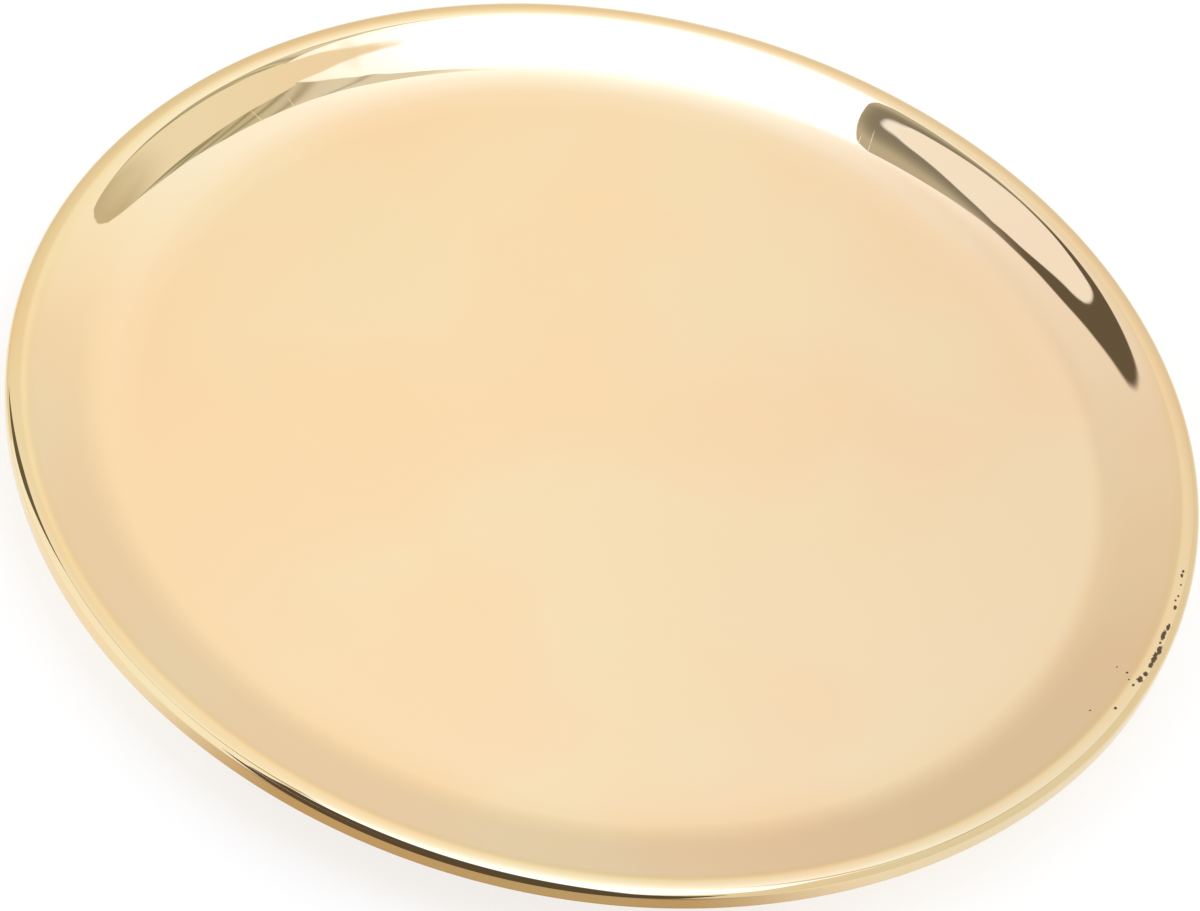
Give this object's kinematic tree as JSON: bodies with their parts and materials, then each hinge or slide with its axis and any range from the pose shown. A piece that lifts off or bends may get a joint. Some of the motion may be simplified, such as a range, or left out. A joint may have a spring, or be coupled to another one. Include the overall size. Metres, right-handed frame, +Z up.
{
  "type": "candle plate",
  "caption": "Shallow round brass dish with a flat floor, coved wall and rounded lip, standing on felt pads: it carries a pillar candle and catches its wax.",
  "frame": {"origin": "centre of the plate, on the surface that it stands on", "axes": "+Z up along the axis of the dish; the dish is round, so +X and +Y only set where the four felt pads lie, on the diagonals"},
  "size_m": [0.12, 0.12, 0.0077],
  "materials": {
    "polished_brass": "hand polished, nearly a mirror",
    "felt": "pressed wool felt, dark brown",
    "adhesive": "thin pressure-sensitive adhesive"
  },
  "bodies": {
    "root": {"brass_dish": "polished_brass", "felt_pad_1": "felt", "felt_pad_2": "felt", "felt_pad_3": "felt", "felt_pad_4": "felt", "pad_adhesive_1": "adhesive", "pad_adhesive_2": "adhesive", "pad_adhesive_3": "adhesive", "pad_adhesive_4": "adhesive"}
  },
  "joints": []
}
